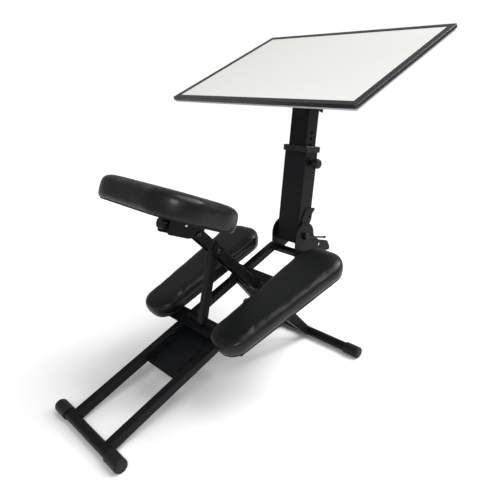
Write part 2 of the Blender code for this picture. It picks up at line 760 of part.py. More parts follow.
def make_seat(vinyl, wood, steel, zinc, plastic):
    """Everything here hangs on the seat's own pivot. Its local x runs down the seat's slope."""
    middle = -SEAT_BACK
    floor = SEAT_RISE
    plate_top = floor - GAP
    plate = prism(rounded(0.1180, 0.1500, 0.0150, x=middle + 0.0770), plate_top - 0.0030, plate_top)
    node("seat_plate", plate, steel, "seat_hinge", bevel=0.0008)
    board = moved(prism(seat_outline(SEAT_INSET), floor, floor + SEAT_BOARD), x=middle)
    node("seat_board", board, wood, "seat_hinge")
    padding = moved(cushion(seat_outline, floor, floor + SEAT_THICK, crown=0.006, top_round=0.026), x=middle)
    pocket = moved(prism(seat_outline(SEAT_INSET - GAP), floor - 0.0020, floor + SEAT_BOARD + GAP), x=middle)
    node("seat_cushion", padding, vinyl, "seat_hinge", cuts=[pocket])

    under = plate_top - 0.0030 - GAP
    inner = ARM_WIDTH / 2 + 0.0010
    gauge = 0.0030
    depth = 0.0450
    back = middle + 0.0065
    cheek = [(back, under)] + arc(back + 0.0080, under - depth + 0.0080, 0.0080, 180, 270, 3)
    cheek += [(-0.0350, under - depth)] + arc(0.0, 0.0, 0.0170, 235, 380, 8) + [(0.0190, under)]
    left = side_plate(cheek, inner, gauge)
    right = side_plate(cheek, -inner - gauge, gauge)
    web = box((back, back + gauge), (-inner - 0.001, inner + 0.001), (under - depth + 0.010, under))
    hinge_hole = cross_rod(PIVOT_BOLT_R - 0.001 + RUN, -inner - 0.01, inner + 0.01, steps=24)
    screw_hole = moved(turn_to(prism(circle(0.0050, 20), -0.01, 0.01), "x"), x=back, z=SEAT_RISE - 0.0215)
    node("seat_bracket", left, steel, "seat_hinge", welds=[web, right], cuts=[hinge_hole, screw_hole])
    outside = inner + gauge + GAP
    shaft = bolt(-outside, outside + 0.0070, PIVOT_BOLT_R - 0.001, head_r=0.0085)
    node("seat_pivot_bolt", shaft, zinc, "seat_hinge")
    node("seat_pivot_nut", nut(outside, PIVOT_BOLT_R - 0.001, 1), zinc, "seat_hinge")

    grip = knob(0.0186, 0.0165, 10, 0.0022, steps_per_lobe=4)
    turn = Matrix(((0, 0, -1, 0), (0, 1, 0, 0), (1, 0, 0, 0), (0, 0, 0, 1)))
    bmesh.ops.transform(grip, matrix=turn, verts=grip.verts)
    node("seat_knob", grip, plastic, "seat_knob_axis")
    screw = turn_to(prism(circle(0.0045, 20), 0.0003, 0.0230), "x")
    node("seat_knob_screw", screw, zinc, "seat_knob_axis")


# ---------------------------------------------------------------- column

def make_outer_column(steel, plastic, zinc):
    outer = rounded(OUTER_DEPTH, OUTER_WIDTH, 0.0040)
    inner = rounded(OUTER_DEPTH - 2 * WALL, OUTER_WIDTH - 2 * WALL, 0.0020)
    tube = pipe(outer, inner, OUTER_BOTTOM, OUTER_TOP)
    pin_cut = cross_rod(PIN_R + 0.0012, -OUTER_WIDTH, 0, z=PIN_Z, steps=20)
    hinge_cut = cross_rod(PIVOT_BOLT_R + RUN, -OUTER_WIDTH, OUTER_WIDTH, steps=32)
    node("column_outer", tube, steel, "column_hinge", cuts=[pin_cut, hinge_cut])

    # The collar is a plastic bush: a rim on the tube's mouth and a skirt in the space between the tubes.
    rim = rounded(OUTER_DEPTH + 0.0130, OUTER_WIDTH + 0.0100, 0.0060)
    bore = rounded(INNER_DEPTH + 0.0006, INNER_WIDTH + 0.0006, 0.0030)
    skirt = rounded(OUTER_DEPTH - 2 * WALL - 0.0006, OUTER_WIDTH - 2 * WALL - 0.0006, 0.0020)
    bush = bmesh.new()
    lip = rounded(OUTER_DEPTH + 0.0090, OUTER_WIDTH + 0.0060, 0.0050)
    stack = (
        (rim, OUTER_TOP + GAP), (rim, COLLAR_TOP - 0.0020), (lip, COLLAR_TOP), (bore, COLLAR_TOP),
        (bore, OUTER_TOP - 0.0180), (skirt, OUTER_TOP - 0.0180), (skirt, OUTER_TOP + GAP),
    )
    rings = []
    for outline, height in stack:
        rings.append([bush.verts.new((x, y, height)) for x, y in outline])
    count = len(rim)
    for a in range(len(rings)):
        first, second = rings[a], rings[(a + 1) % len(rings)]
        for i in range(count):
            j = (i + 1) % count
            bush.faces.new((first[i], first[j], second[j], second[i]))
    node("column_collar", bush, plastic, "column_hinge")

    wall = -OUTER_WIDTH / 2 - GAP
    bore_r = PIN_R + 0.0004
    end = wall - 0.0110
    barrel = [(bore_r, wall), (0.0090, wall), (0.0090, end + 0.0010), (0.0080, end), (bore_r, end)]
    node("pin_barrel", moved(turn_to(turned(barrel), "y"), z=PIN_Z), zinc, "column_hinge")
    return end


def make_height_pin(barrel_end, zinc, plastic):
    """The spring pin that holds the column's height, and the knob that pulls it out."""
    tip = -INNER_WIDTH / 2 - 0.0006
    back = barrel_end - 0.0010
    end = back - 0.0160
    pin = turned([(0, tip), (PIN_R - 0.0008, tip), (PIN_R, tip - 0.0012), (PIN_R, end), (0, end)], 20)
    node("height_pin", moved(turn_to(pin, "y"), z=PIN_Z), zinc, "height_pin_axis")
    grip = knob(0.0165, 0.0240, 8, 0.0014, steps_per_lobe=4, bore=PIN_R + 0.0002)
    bmesh.ops.transform(grip, matrix=Matrix.Rotation(math.radians(90), 4, "X"), verts=grip.verts)
    node("height_knob", moved(grip, y=back, z=PIN_Z), plastic, "height_pin_axis")


def make_column_hinge(zinc, plastic, steel):
    """The bolt, its clamp outside the right ear, and the tilt lever between that ear and the column."""
    outside = EAR_Y + EAR_THICK + GAP
    shank = -outside - 0.0150
    node("column_bolt", bolt(outside, shank, PIVOT_BOLT_R, head_r=0.0120, head=0.0060), zinc, "column_ears")
    lever_y = -(EAR_Y + OUTER_WIDTH / 2 + LEVER_THICK) / 2
    fan = arc(0.0, 0.0, 0.0130, 170, 330, 6)
    fan += [(0.0300, 0.0390), (0.0400, 0.0545), (0.0427, 0.0719), (0.0580, 0.0880), (0.0560, 0.0925)]
    fan += [(0.0384, 0.0960), (0.0104, 0.0978), (-0.0124, 0.0627)]
    reach = (lever_y - 0.0020, lever_y + 0.0060)
    cuts = [
        cross_rod(PIVOT_BOLT_R + RUN, *reach, steps=32),
        cross_rod(0.0045, *reach, x=0.0277, z=0.0648, steps=16),
    ]
    lever = side_plate(list(reversed(fan)), lever_y, LEVER_THICK)
    node("tilt_lever", lever, steel, "column_ears", cuts=cuts, bevel=0.0005)

    bore = PIVOT_BOLT_R + RUN
    front = -outside
    back = front - 0.0130
    hub = [(bore, front), (CLAMP_HUB_R - 0.0010, front), (CLAMP_HUB_R, front - 0.0015)]
    hub += [(CLAMP_HUB_R, back + 0.0025), (CLAMP_HUB_R - 0.0022, back), (bore, back)]
    node("clamp_hub", turn_to(turned(hub, 32), "y"), plastic, "column_ears")
    profile = [(0, 0), (0.0034, 0), (0.0034, 0.0850), (0.0041, 0.0890)]
    profile += [(0.0043, 0.0980), (0.0032, 0.1020), (0, 0.1035)]
    handle = turned(profile, 16)
    bmesh.ops.transform(handle, matrix=Matrix.Rotation(math.radians(CLAMP_TURN), 4, "Y"), verts=handle.verts)
    start = CLAMP_HUB_R + 0.0008
    x, z = start * math.sin(math.radians(CLAMP_TURN)), start * math.cos(math.radians(CLAMP_TURN))
    node("clamp_handle", moved(handle, x=x, y=front - 0.0070, z=z), zinc, "column_ears")


def make_inner_column(steel, zinc):
    outer = rounded(INNER_DEPTH, INNER_WIDTH, 0.0040)
    inner = rounded(INNER_DEPTH - 2 * WALL, INNER_WIDTH - 2 * WALL, 0.0020)
    tube = pipe(outer, inner, INNER_BOTTOM, INNER_TOP)
    cuts = []
    for number in range(-5, 6):
        cuts.append(cross_rod(PIN_R + 0.0008, -INNER_WIDTH, 0, z=PIN_Z + number * PIN_PITCH, steps=12))
    node("column_inner", tube, steel, "column_hinge", cuts=cuts)

    # A folded steel head wraps the tube's top, and its cheeks carry the desk hinge.
    gauge = 0.0030
    outer = rounded(INNER_DEPTH + 0.0006 + 2 * gauge, INNER_WIDTH + 0.0006 + 2 * gauge, 0.0050)
    inner = rounded(INNER_DEPTH + 0.0006, INNER_WIDTH + 0.0006, 0.0030)
    sleeve = pipe(outer, inner, HEAD_LOW, INNER_TOP - 0.0010)
    hinge = WORLD["column_hinge"].inverted() @ WORLD["desk_hinge"].translation
    outside = INNER_WIDTH / 2 + GAP + gauge
    low = [(-0.0260, 0.0040), (0.0130, -0.0070), (0.0380, -0.0140), (0.0400, -0.0100), (0.0400, 0.0690)]
    cheek = [(x, HEAD_LOW + z) for x, z in low]
    cheek += arc(hinge.x, hinge.z, 0.0150, 0, 180, 8) + [(-0.0260, HEAD_LOW + 0.0690)]
    left = side_plate(cheek, outside - 0.0010, 0.0040)
    right = side_plate(cheek, -outside - 0.0030, 0.0040)
    reach = outside + 0.0100
    hole = cross_rod(PIVOT_BOLT_R - 0.001 + GAP, -reach, reach, x=hinge.x, z=hinge.z)
    node("column_head", sleeve, steel, "column_hinge", welds=[left, right], cuts=[hole])


# ---------------------------------------------------------------- desk

def make_desk(board_white, edge_black, steel, zinc, plastic):
    """The desk's own axes start at its hinge. Local x runs up the slope, and z is square to the top."""
    hinge = WORLD["desk_hinge"].inverted() @ Vector((REAR_X + DESK_EDGE_X, 0, DESK_EDGE_Z))
    middle = hinge.x + DESK_DEPTH / 2
    top = DESK_HINGE_DROP
    low = top - DESK_THICK
    core = rounded(DESK_DEPTH - 0.0080, DESK_WIDTH - 0.0080, 0.0040, x=middle)
    node("desk_board", prism(core, low, top - EDGE_HEIGHT - GAP), board_white, "desk_hinge", bevel=0.0010)
    rim = 2 * EDGE_WIDTH + 2 * GAP
    inside = rounded(DESK_DEPTH - rim, DESK_WIDTH - rim, 0.0015, x=middle)
    node("desk_top", prism(inside, top - EDGE_HEIGHT, top - 0.0012), board_white, "desk_hinge")
    outer = rounded(DESK_DEPTH, DESK_WIDTH, 0.0060, x=middle)
    inner = rounded(DESK_DEPTH - 2 * EDGE_WIDTH, DESK_WIDTH - 2 * EDGE_WIDTH, 0.0018, x=middle)
    node("desk_edge", pipe(outer, inner, top - EDGE_HEIGHT, top), edge_black, "desk_hinge", bevel=0.0008)

    under = low - GAP
    plate = prism(rounded(0.1600, 0.1400, 0.0080), under - 0.0030, under)
    inner_y = INNER_WIDTH / 2 + GAP + 0.0060 + 0.0006
    gauge = 0.0030
    cheek = arc(0.0, 0.0, 0.0140, 180, 360, 8) + [(0.0300, under - 0.0010), (-0.0300, under - 0.0010)]
    left = side_plate(cheek, inner_y, gauge)
    right = side_plate(cheek, -inner_y - gauge, gauge)
    hole = cross_rod(PIVOT_BOLT_R - 0.001 + GAP, -inner_y - 0.01, inner_y + 0.01, steps=24)
    node("desk_bracket", plate, steel, "desk_hinge", welds=[left, right], cuts=[hole])
    outside = inner_y + gauge + GAP
    shaft = bolt(outside, -outside - 0.0150, PIVOT_BOLT_R - 0.001, head_r=0.0085)
    node("desk_bolt", shaft, zinc, "desk_hinge")
    grip = knob(0.0190, 0.0240, 5, 0.0055, steps_per_lobe=8, bore=PIVOT_BOLT_R - 0.001 + 0.0002)
    bmesh.ops.transform(grip, matrix=Matrix.Rotation(math.radians(90), 4, "X"), verts=grip.verts)
    node("desk_knob", moved(grip, y=-outside), plastic, "desk_hinge")


# ---------------------------------------------------------------- assembly

def make_frames():
    frame_of("rear_foot", REAR_X, CAP_R, 0)
    frame_of("lower_frame", REAR_X, RAIL_START_Z, RAIL_TILT)
    pad_height = RAIL_SIDE / 2 + GAP + PLATE_THICK + PAD_LIFT
    for side, word in ((1, "left"), (-1, "right")):
        x, z = place_in("lower_frame", PAD_X, pad_height)
        name = f"pad_{word}"
        tilt = Matrix.Rotation(math.radians(-(RAIL_TILT + PAD_TILT)), 4, "Y")
        toe = Matrix.Rotation(math.radians(side * PAD_TOE), 4, "Z")
        WORLD[name] = Matrix.Translation((x, side * PAD_Y, z)) @ tilt @ toe
        empty = bpy.data.objects.new(name, None)
        bpy.context.scene.collection.objects.link(empty)
        empty.parent = bpy.data.objects["lower_frame"]
        empty.matrix_basis = WORLD["lower_frame"].inverted() @ WORLD[name]
    frame_of("column_ears", REAR_X + COLUMN_X, COLUMN_Z, 0, "lower_frame")
    frame_of("beam", *place_in("lower_frame", PIVOT_X, 0), BEAM_TILT)
    frame_of("front_foot", REAR_X + FRONT_FOOT_X, CAP_R, 0, "beam")
    frame_of("strut_hinge", *strut_top(), tilt_from(strut_top(), strut_foot()), "beam")
    frame_of("seat_hinge", *place_in("beam", -SEAT_PIVOT, 0), SEAT_TILT, "beam")
    knob_place = place_in("seat_hinge", -SEAT_BACK + 0.0055, SEAT_RISE - 0.0215)
    frame_of("seat_knob_axis", *knob_place, SEAT_TILT, "seat_hinge")
    frame_of("column_hinge", REAR_X + COLUMN_X, COLUMN_Z, -COLUMN_LEAN)
    frame_of("height_pin_axis", REAR_X + COLUMN_X, COLUMN_Z, -COLUMN_LEAN, "column_hinge")
    edge = Vector((REAR_X + DESK_EDGE_X, 0, DESK_EDGE_Z))
    desk_turn = Matrix.Rotation(math.radians(-DESK_TILT), 4, "Y")
    drop = desk_turn @ Vector((0, 0, -DESK_HINGE_DROP))
    slope = desk_turn @ Vector((1, 0, 0))
    column_up = WORLD["column_hinge"].to_3x3() @ Vector((0, 0, 1))
    start = WORLD["column_hinge"].translation
    # The hinge lies where the column's middle line meets the plane at the hinge's depth under the desk's top.
    offset = start - (edge + drop)
    cross = slope.x * column_up.z - slope.z * column_up.x
    along = (offset.x * column_up.z - offset.z * column_up.x) / cross
    hinge = edge + drop + along * slope
    frame_of("desk_hinge", hinge.x, hinge.z, DESK_TILT, "column_hinge")


def main():
    clear_scene()
    steel = material("black_powder_coat", (0.030, 0.032, 0.036), 0.42, 0.0)
    zinc = material("dark_zinc", (0.10, 0.10, 0.11), 0.35, 0.9)
    plastic = material("black_plastic", (0.035, 0.037, 0.040), 0.55)
    vinyl = material("black_vinyl", (0.022, 0.024, 0.028), 0.33)
    wood = material("dust_cloth", (0.020, 0.020, 0.021), 0.9)
    white = material("white_laminate", (0.80, 0.80, 0.76), 0.30)
    make_frames()
    make_foot("rear", REAR_FOOT_HALF, "rear_foot", steel, plastic)
    make_rails(steel)
    make_trough(steel)
    make_cross_plates(steel)
    make_pads(vinyl, wood, zinc)
    make_ears(steel)
    make_main_pivot(zinc)
    make_arm(steel, zinc)
    make_legs(steel)
    make_foot("front", FRONT_FOOT_HALF, "front_foot", steel, plastic)
    make_strut(steel, zinc)
    make_seat(vinyl, wood, steel, zinc, plastic)
    barrel_end = make_outer_column(steel, plastic, zinc)
    make_height_pin(barrel_end, zinc, plastic)
    make_column_hinge(zinc, plastic, steel)
    make_inner_column(steel, zinc)
    make_desk(white, plastic, steel, zinc, plastic)


main()
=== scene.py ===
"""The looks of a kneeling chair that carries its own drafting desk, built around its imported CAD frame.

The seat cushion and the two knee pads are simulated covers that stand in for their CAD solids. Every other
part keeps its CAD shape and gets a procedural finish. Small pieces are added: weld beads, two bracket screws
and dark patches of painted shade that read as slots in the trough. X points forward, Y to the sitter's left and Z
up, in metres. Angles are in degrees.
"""

import json
import math

import bmesh
import bpy
import numpy as np
from mathutils import Matrix, Vector


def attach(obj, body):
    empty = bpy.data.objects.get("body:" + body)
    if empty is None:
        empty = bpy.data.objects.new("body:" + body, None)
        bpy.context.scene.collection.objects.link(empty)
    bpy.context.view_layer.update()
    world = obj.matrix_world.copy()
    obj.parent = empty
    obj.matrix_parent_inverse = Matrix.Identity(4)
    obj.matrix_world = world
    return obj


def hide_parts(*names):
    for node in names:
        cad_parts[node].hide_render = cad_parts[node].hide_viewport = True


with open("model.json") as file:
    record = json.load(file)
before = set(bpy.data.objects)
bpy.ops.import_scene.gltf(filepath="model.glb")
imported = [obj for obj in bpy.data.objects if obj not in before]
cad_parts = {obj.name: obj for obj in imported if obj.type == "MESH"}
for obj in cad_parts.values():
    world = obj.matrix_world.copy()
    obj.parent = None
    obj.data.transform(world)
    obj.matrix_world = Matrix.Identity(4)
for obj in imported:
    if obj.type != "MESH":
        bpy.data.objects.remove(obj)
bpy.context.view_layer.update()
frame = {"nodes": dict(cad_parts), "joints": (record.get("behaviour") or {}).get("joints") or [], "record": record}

JOINTS = {joint["name"]: joint for joint in frame["joints"]}

# Camera, lights and floor. A softbox is (name, place, aim, width, power).
CAMERA_PLACE = (-0.9940, -1.0779, 0.9361)
CAMERA_PITCH = 70.43
CAMERA_TURN = -44.52
CAMERA_LENS = 34.63
SENSOR_WIDTH = 36
SKY_LIGHT = 0.36
KEY_FROM = (0.50, -0.35, 0.85)
KEY_SPREAD = 55
KEY_STRENGTH = 3.0
SOFTBOXES = (
    ("front_box", (-1.7, -1.5, 1.9), (0.0, 0.0, 0.45), 0.9, 26),
    ("rim_box", (1.70, -0.50, 2.10), (0.0, -0.15, 0.35), 0.45, 12),
)
FLOOR_RADIUS = 9.0
FLOOR_DROP = 0.0004

# The seat, as in the CAD. Its size is (length, width).
SEAT_TILT = -21.8
SEAT_BACK = 0.1172
SEAT_RISE = 0.0287
SEAT_SIZE = (0.294, 0.414)
SEAT_CORNER = 0.110
SEAT_INSET = 0.0140

# The left knee pad, as in the CAD. Half widths and corner radii are given as (rear, front).
PAD_PLACE = (0.02194, 0.1811, 0.27569)
PAD_TILT = 19.42
PAD_TOE = 3.45
PAD_REACH = 0.259
PAD_HALVES = (0.071, 0.093)
PAD_CORNERS = (0.064, 0.078)
PAD_INSET = 0.0120

# Side views of the covers from the underside up: (inset from the outline, height)
SEAT_SIDE = (
    (0.0120, 0.0004), (0.0080, 0.0010), (0.0045, 0.0040), (0.0025, 0.0100), (0.0016, 0.0200),
    (0.0016, 0.0360), (0.0022, 0.0470), (0.0042, 0.0550), (0.0082, 0.0612), (0.0140, 0.0648),
    (0.0230, 0.0668), (0.0500, 0.0682), (0.0900, 0.0690),
)
PAD_SIDE = (
    (0.0120, 0.0004), (0.0092, 0.0012), (0.0072, 0.0050), (0.0056, 0.0100), (0.0026, 0.0160),
    (0.0014, 0.0240), (0.0016, 0.0350), (0.0034, 0.0420), (0.0072, 0.0468), (0.0125, 0.0490),
    (0.0230, 0.0502), (0.0450, 0.0509),
)
LEAST_CORNER = 0.004
VOXEL = 0.0050
SMOOTH_BEFORE = 4
SMOOTH_AFTER = 5

# The cloth simulation that fills the covers, with the most that a point may move
PRESSURE = 4.0
SKIN_MASS = 0.3
SKIN_STIFFNESS = 18
SKIN_BENDING = 0.6
SIM_QUALITY = 5
SIM_FRAMES = 20
MOST_SWELL = 0.0045

# Room for the board under a cover
BOARD_RECESS = 0.0025
UNDERSIDE_BELOW = 0.012
LOWEST = 0.0003

# The rails' axes: X runs up along them from the rear foot
RAIL_START = (-0.55563, 0, 0.0185)
RAIL_TILT = 21.22
RAILS = Matrix.Translation(RAIL_START) @ Matrix.Rotation(math.radians(-RAIL_TILT), 4, "Y")
RAIL_Y = 0.0900
RAIL_HALF = 0.0135

# Patches of painted shade on the trough's floor where its slots are, in the rails' axes: (place along the rails,
# half length)
SLOT_SHADE_PATCHES = ((0.2960, 0.0100), (0.3423, 0.0065), (0.3828, 0.0055))
TROUGH_FLOOR = -0.0104
SLOT_Y = -0.0490
SLOT_HALF = 0.0060
SLOT_PROUD = 0.0003
SLOT_R = 0.0040

# Weld beads, in the rails' axes
FOOT_MEET = 0.0112
BAR_MEET = 0.8800
BEAD_R = 0.0016
BEAD_PITCH = 0.0022
BEAD_STOP = 0.0030
BEAD_POINTS = 12
BEAD_TIP = 0.35
BEAD_TAPER = 8
RIPPLE_DEPTH = 0.18
RIPPLE_STEPS = 4

# Screws on the seat bracket's cheeks. The profile is (radius, height) from the cheek outwards.
CHEEK_Y = 0.0250
SCREW_PLACE = (-0.0534, 0.0, 0.0167)
SCREW_POINTS = 24
SCREW_PROFILE = ((0.0050, 0.0), (0.0052, 0.0006), (0.0046, 0.0016), (0.0030, 0.0023), (0.0010, 0.0026))

# Nodes whose finish differs from that of their material slot
OWN_FINISH = {"desk_edge": "edge", "desk_board": "core", "clamp_handle": "plastic"}

# Wear: the range of lean that counts as an edge, and how scuffs and specks change a colour
EDGE_LEAN = (0.80, 0.995)
SCUFF_FADE = 2.2
SPECK_SHADE = 0.90


# ---------------------------------------------------------------- node trees

class Finish:
    """A material under construction: one Principled shader and the nodes that drive it."""

    def __init__(self, name, roughness, metallic=0.0, specular=0.5):
        self.material = bpy.data.materials.new(name)
        self.material.use_nodes = True
        self.tree = self.material.node_tree
        self.shader = self.tree.nodes["Principled BSDF"]
        self.shader.inputs["Roughness"].default_value = roughness
        self.shader.inputs["Metallic"].default_value = metallic
        self.shader.inputs["Specular IOR Level"].default_value = specular
        self.place = self.tree.nodes.new("ShaderNodeTexCoord").outputs["Object"]

    def link(self, output, target):
        self.tree.links.new(output, target)

    def stretched(self, scale):
        mapping = self.tree.nodes.new("ShaderNodeMapping")
        mapping.inputs["Scale"].default_value = scale
        self.link(self.place, mapping.inputs["Vector"])
        return mapping.outputs["Vector"]

    def noise(self, scale, detail=4.0, rough=0.5, place=None):
        made = self.tree.nodes.new("ShaderNodeTexNoise")
        made.inputs["Scale"].default_value = scale
        made.inputs["Detail"].default_value = detail
        made.inputs["Roughness"].default_value = rough
        self.link(place or self.place, made.inputs["Vector"])
        return made.outputs["Fac"]

    def cells(self, scale):
        made = self.tree.nodes.new("ShaderNodeTexVoronoi")
        made.inputs["Scale"].default_value = scale
        self.link(self.place, made.inputs["Vector"])
        return made.outputs["Distance"]

    def ranged(self, value, low, high, source=(0.0, 1.0)):
        made = self.tree.nodes.new("ShaderNodeMapRange")
        made.inputs["From Min"].default_value = source[0]
        made.inputs["From Max"].default_value = source[1]
        made.inputs["To Min"].default_value = low
        made.inputs["To Max"].default_value = high
        self.link(value, made.inputs["Value"])
        return made.outputs["Result"]

    def maths(self, operation, first, second):
        made = self.tree.nodes.new("ShaderNodeMath")
        made.operation = operation
        for socket, value in zip(made.inputs, (first, second)):
            if isinstance(value, (int, float)):
                socket.default_value = value
            else:
                self.link(value, socket)
        return made.outputs["Value"]

    def summed(self, first, second):
        """Two values added, each given with the range that it is spread over."""
        return self.maths("ADD", self.ranged(*first), self.ranged(*second))

    def colours(self, value, *stops):
        ramp = self.tree.nodes.new("ShaderNodeValToRGB")
        points = ramp.color_ramp.elements
        while len(points) < len(stops):
            points.new(0.5)
        for point, (place, colour) in zip(points, stops):
            point.position = place
            point.color = (*colour, 1)
        self.link(value, ramp.inputs["Fac"])
        return ramp.outputs["Color"]

    def mixed(self, share, first, second):
        mix = self.tree.nodes.new("ShaderNodeMix")
        mix.data_type = "RGBA"
        self.link(share, mix.inputs["Factor"])
        for socket, value in ((mix.inputs["A"], first), (mix.inputs["B"], second)):
            if isinstance(value, tuple):
                socket.default_value = (*value, 1)
            else:
                self.link(value, socket)
        return mix.outputs["Result"]

    def raised(self, height, distance, strength=1.0, below=None):
        bump = self.tree.nodes.new("ShaderNodeBump")
        bump.inputs["Strength"].default_value = strength
        bump.inputs["Distance"].default_value = distance
        self.link(height, bump.inputs["Height"])
        if below:
            self.link(below, bump.inputs["Normal"])
        return bump.outputs["Normal"]

    def soft_edges(self, radius):
        bevel = self.tree.nodes.new("ShaderNodeBevel")
        bevel.samples = 4
        bevel.inputs["Radius"].default_value = radius
        return bevel.outputs["Normal"]

    def edges(self, rounded):
        """1 on a sharp edge and 0 on a flat: how far the rounded normal leans from the true one."""
        true = self.tree.nodes.new("ShaderNodeNewGeometry").outputs["Normal"]
        dot = self.tree.nodes.new("ShaderNodeVectorMath")
        dot.operation = "DOT_PRODUCT"
        self.link(rounded, dot.inputs[0])
        self.link(true, dot.inputs[1])
        return self.ranged(dot.outputs["Value"], 1.0, 0.0, source=EDGE_LEAN)

    def drive(self, colour=None, roughness=None, normal=None):
        for name, output in (("Base Color", colour), ("Roughness", roughness), ("Normal", normal)):
            if output:
                self.link(output, self.shader.inputs[name])
        return self.material


def leatherette():
    """Smooth coated upholstery: fine pores, faint creases and a worn sheen that comes and goes."""
    paint = Finish("leatherette", 0.36, specular=0.17)
    paint.shader.inputs["Coat Weight"].default_value = 0.15
    paint.shader.inputs["Coat Roughness"].default_value = 0.20
    cloud = paint.noise(scale=7.0, detail=3.0)
    fine = paint.noise(scale=160.0, detail=5.0, rough=0.6)
    colour = paint.colours(cloud, (0.25, (0.0036, 0.0040, 0.0044)), (0.75, (0.0064, 0.0069, 0.0072)))
    flecks = paint.ranged(fine, 0.0, 0.35, source=(0.45, 0.80))
    colour = paint.mixed(flecks, colour, (0.010, 0.0108, 0.0115))
    rough = paint.summed((cloud, 0.33, 0.45), (fine, -0.04, 0.05))
    pores = paint.raised(paint.cells(scale=820.0), distance=0.00022, strength=0.30)
    folds = paint.noise(scale=70.0, detail=6.0, rough=0.65)
    creases = paint.raised(folds, distance=0.0012, strength=0.07, below=pores)
    waves = paint.noise(scale=9.0, detail=2.0)
    return paint.drive(colour, rough, paint.raised(waves, distance=0.0040, strength=0.07, below=creases))


def powder_coat():
    """Satin black powder coat: orange peel, a clouded film and rubbed edges."""
    paint = Finish("powder_coat", 0.42, specular=0.12)
    rounded = paint.soft_edges(0.0011)
    worn = paint.noise(scale=38.0, detail=5.0, rough=0.6)
    patchy = paint.ranged(worn, 0.10, 1.0, source=(0.38, 0.66))
    edge = paint.maths("MULTIPLY", paint.edges(rounded), patchy)
    cloud = paint.noise(scale=11.0)
    colour = paint.colours(cloud, (0.30, (0.0038, 0.0043, 0.0052)), (0.72, (0.0068, 0.0074, 0.0086)))
    colour = paint.mixed(edge, colour, (0.030, 0.032, 0.036))
    rough = paint.summed((cloud, 0.36, 0.48), (worn, -0.05, 0.06))
    peel = paint.noise(scale=1300.0, detail=2.0)
    return paint.drive(colour, rough, paint.raised(peel, distance=0.00012, strength=0.35, below=rounded))


def moulded(name, dark, light, roughness, grain, specular, scuffed=0.35):
    """Moulded plastic or rubber with a fine pitted grain and scuffs."""
    paint = Finish(name, roughness, specular=specular)
    rounded = paint.soft_edges(0.0008)
    cloud = paint.noise(scale=26.0)
    streaks = paint.noise(scale=1.0, detail=6.0, rough=0.7, place=paint.stretched((240.0, 60.0, 240.0)))
    scuffs = paint.ranged(streaks, 0.0, 1.0, source=(0.56, 0.74))
    colour = paint.mixed(cloud, dark, light)
    faded = tuple(SCUFF_FADE * part for part in light)
    colour = paint.mixed(paint.maths("MULTIPLY", scuffs, scuffed), colour, faded)
    rough = paint.summed((cloud, roughness - 0.06, roughness + 0.06), (scuffs, 0.0, 0.08))
    pitted = paint.noise(scale=grain, detail=3.0, rough=0.6)
    return paint.drive(colour, rough, paint.raised(pitted, distance=0.00016, strength=0.45, below=rounded))


def plated_steel(name, dull, bright):
    """Zinc plate, blackened or clear: metal with fine drawing marks and dull patches."""
    paint = Finish(name, 0.34, metallic=1.0)
    rounded = paint.soft_edges(0.0006)
    drawn = paint.noise(scale=1.0, rough=0.6, place=paint.stretched((700.0, 90.0, 700.0)))
    cloud = paint.noise(scale=90.0)
    colour = paint.colours(cloud, (0.30, dull), (0.72, bright))
    rough = paint.summed((cloud, 0.26, 0.42), (drawn, -0.05, 0.08))
    return paint.drive(colour, rough, paint.raised(drawn, distance=0.00008, strength=0.4, below=rounded))


def dust_cloth():
    """The black non-woven cloth over the boards' undersides: matt fibres laid both ways."""
    paint = Finish("dust_cloth", 0.85, specular=0.2)
    along = paint.noise(scale=1.0, rough=0.7, place=paint.stretched((160.0, 1500.0, 600.0)))
    across = paint.noise(scale=1.0, rough=0.7, place=paint.stretched((1500.0, 160.0, 600.0)))
    fibres = paint.maths("MAXIMUM", along, across)
    colour = paint.colours(fibres, (0.45, (0.006, 0.006, 0.0065)), (0.75, (0.022, 0.022, 0.024)))
    rough = paint.ranged(fibres, 0.78, 0.95)
    return paint.drive(colour, rough, paint.raised(fibres, distance=0.0004, strength=0.5))


def laminate(name, light, shade, sheen):
    """Drafting-board laminate: fine texture, faint clouding and a matt bloom from hands and erasers."""
    paint = Finish(name, sheen, specular=0.42)
    cloud = paint.noise(scale=4.0, detail=5.0, rough=0.6)
    specks = paint.ranged(paint.noise(scale=520.0, detail=2.0), 0.0, 0.25, source=(0.62, 0.80))
    rubbed = paint.noise(scale=1.0, detail=5.0, rough=0.65, place=paint.stretched((30.0, 9.0, 30.0)))
    colour = paint.mixed(cloud, shade, light)
    colour = paint.mixed(specks, colour, tuple(SPECK_SHADE * part for part in shade))
    rough = paint.summed((cloud, sheen - 0.05, sheen + 0.07), (rubbed, -0.05, 0.07))
    texture = paint.noise(scale=900.0, detail=2.0)
    return paint.drive(colour, rough, paint.raised(texture, distance=0.00007, strength=0.35))


def pale_floor():
    """A matt, almost white studio floor with the faintest clouding."""
    paint = Finish("pale_floor", 0.80, specular=0.15)
    cloud = paint.noise(scale=1.6, detail=3.0)
    colour = paint.mixed(cloud, (0.925, 0.925, 0.920), (0.945, 0.945, 0.942))
    return paint.drive(colour, paint.ranged(cloud, 0.75, 0.85))


